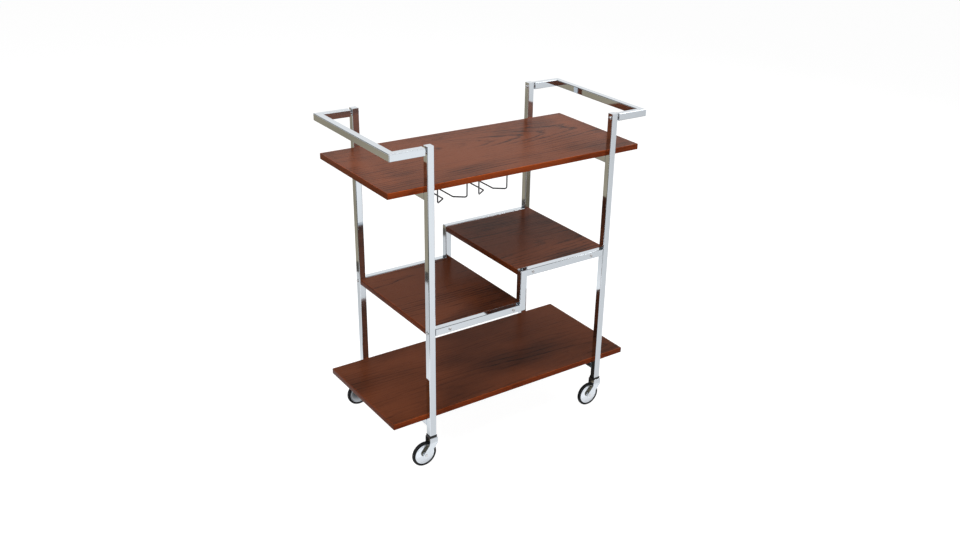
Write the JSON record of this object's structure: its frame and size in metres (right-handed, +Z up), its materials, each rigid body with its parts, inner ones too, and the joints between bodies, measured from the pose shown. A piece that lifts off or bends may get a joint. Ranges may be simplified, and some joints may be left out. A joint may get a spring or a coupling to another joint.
{
  "type": "bar cart",
  "caption": "Rolling bar cart: chrome square-tube frame on swivel casters, stained wood shelves with a stepped middle tier, end handles and wire channels for hanging glasses.",
  "frame": {"origin": "centre of the cart's footprint, on the floor", "axes": "+X along the cart towards the higher middle shelf, +Y from front to rear, +Z up"},
  "size_m": [0.826, 0.4218, 0.935],
  "materials": {
    "chrome_tube": "mirror chrome plate",
    "chrome_wire": "chrome plated wire",
    "chrome_fork": "chrome plated pressing",
    "chrome_wheel": "bright polished disc",
    "plated_fastener": "bright zinc plate",
    "bearing_steel": "plain steel",
    "black_plastic": "black moulded",
    "tyre_rubber": "black rubber",
    "stained_wood": "satin stained veneer"
  },
  "bodies": {
    "cart": {"upright_caps": "chrome_tube", "left_top_crossbar": "chrome_tube", "right_top_crossbar": "chrome_tube", "left_bottom_crossbar": "chrome_tube", "right_bottom_crossbar": "chrome_tube", "left_handle": "chrome_tube", "right_handle": "chrome_tube", "front_step_rail": "chrome_tube", "rear_step_rail": "chrome_tube", "handle_inserts": "bearing_steel", "handle_spacers": "plated_fastener", "handle_bolts": "plated_fastener", "step_rail_inserts": "bearing_steel", "step_rail_spacers": "plated_fastener", "step_rail_bolts": "plated_fastener", "top_shelf": "stained_wood", "bottom_shelf": "stained_wood", "lower_middle_shelf": "stained_wood", "upper_middle_shelf": "stained_wood", "top_shelf_screws": "plated_fastener", "bottom_shelf_screws": "plated_fastener", "middle_shelf_screws": "plated_fastener", "glass_hanger_strips": "chrome_wire", "glass_hanger_screws": "plated_fastener", "left_glass_hanger": "chrome_wire", "right_glass_hanger": "chrome_wire", "front_left_upright": "chrome_tube", "front_left_caster_socket": "black_plastic", "front_left_caster_race": "bearing_steel", "front_left_caster_stem": "bearing_steel", "front_right_upright": "chrome_tube", "front_right_caster_socket": "black_plastic", "front_right_caster_race": "bearing_steel", "front_right_caster_stem": "bearing_steel", "rear_left_upright": "chrome_tube", "rear_left_caster_socket": "black_plastic", "rear_left_caster_race": "bearing_steel", "rear_left_caster_stem": "bearing_steel", "rear_right_upright": "chrome_tube", "rear_right_caster_socket": "black_plastic", "rear_right_caster_race": "bearing_steel", "rear_right_caster_stem": "bearing_steel"},
    "front_left_fork": {"front_left_caster_fork": "chrome_fork", "front_left_caster_axle": "plated_fastener"},
    "front_left_wheel": {"front_left_caster_wheel": "chrome_wheel", "front_left_caster_tyre": "tyre_rubber"},
    "front_right_fork": {"front_right_caster_fork": "chrome_fork", "front_right_caster_axle": "plated_fastener"},
    "front_right_wheel": {"front_right_caster_wheel": "chrome_wheel", "front_right_caster_tyre": "tyre_rubber"},
    "rear_left_fork": {"rear_left_caster_fork": "chrome_fork", "rear_left_caster_axle": "plated_fastener"},
    "rear_left_wheel": {"rear_left_caster_wheel": "chrome_wheel", "rear_left_caster_tyre": "tyre_rubber"},
    "rear_right_fork": {"rear_right_caster_fork": "chrome_fork", "rear_right_caster_axle": "plated_fastener"},
    "rear_right_wheel": {"rear_right_caster_wheel": "chrome_wheel", "rear_right_caster_tyre": "tyre_rubber"}
  },
  "joints": [
    {"name": "front_left_caster_swivel", "type": "hinge", "parent": "cart", "child": "front_left_fork", "pos_m": [-0.297, -0.1965, 0.093], "axis": [0, 0, 1], "continuous": true},
    {"name": "front_left_wheel_spin", "type": "hinge", "parent": "front_left_fork", "child": "front_left_wheel", "pos_m": [-0.322, -0.1965, 0.0375], "axis": [0, 1, 0], "continuous": true},
    {"name": "front_right_caster_swivel", "type": "hinge", "parent": "cart", "child": "front_right_fork", "pos_m": [0.297, -0.1965, 0.093], "axis": [0, 0, 1], "continuous": true},
    {"name": "front_right_wheel_spin", "type": "hinge", "parent": "front_right_fork", "child": "front_right_wheel", "pos_m": [0.272, -0.1965, 0.0375], "axis": [0, 1, 0], "continuous": true},
    {"name": "rear_left_caster_swivel", "type": "hinge", "parent": "cart", "child": "rear_left_fork", "pos_m": [-0.297, 0.1965, 0.093], "axis": [0, 0, 1], "continuous": true},
    {"name": "rear_left_wheel_spin", "type": "hinge", "parent": "rear_left_fork", "child": "rear_left_wheel", "pos_m": [-0.322, 0.1965, 0.0375], "axis": [0, 1, 0], "continuous": true},
    {"name": "rear_right_caster_swivel", "type": "hinge", "parent": "cart", "child": "rear_right_fork", "pos_m": [0.297, 0.1965, 0.093], "axis": [0, 0, 1], "continuous": true},
    {"name": "rear_right_wheel_spin", "type": "hinge", "parent": "rear_right_fork", "child": "rear_right_wheel", "pos_m": [0.272, 0.1965, 0.0375], "axis": [0, 1, 0], "continuous": true}
  ]
}
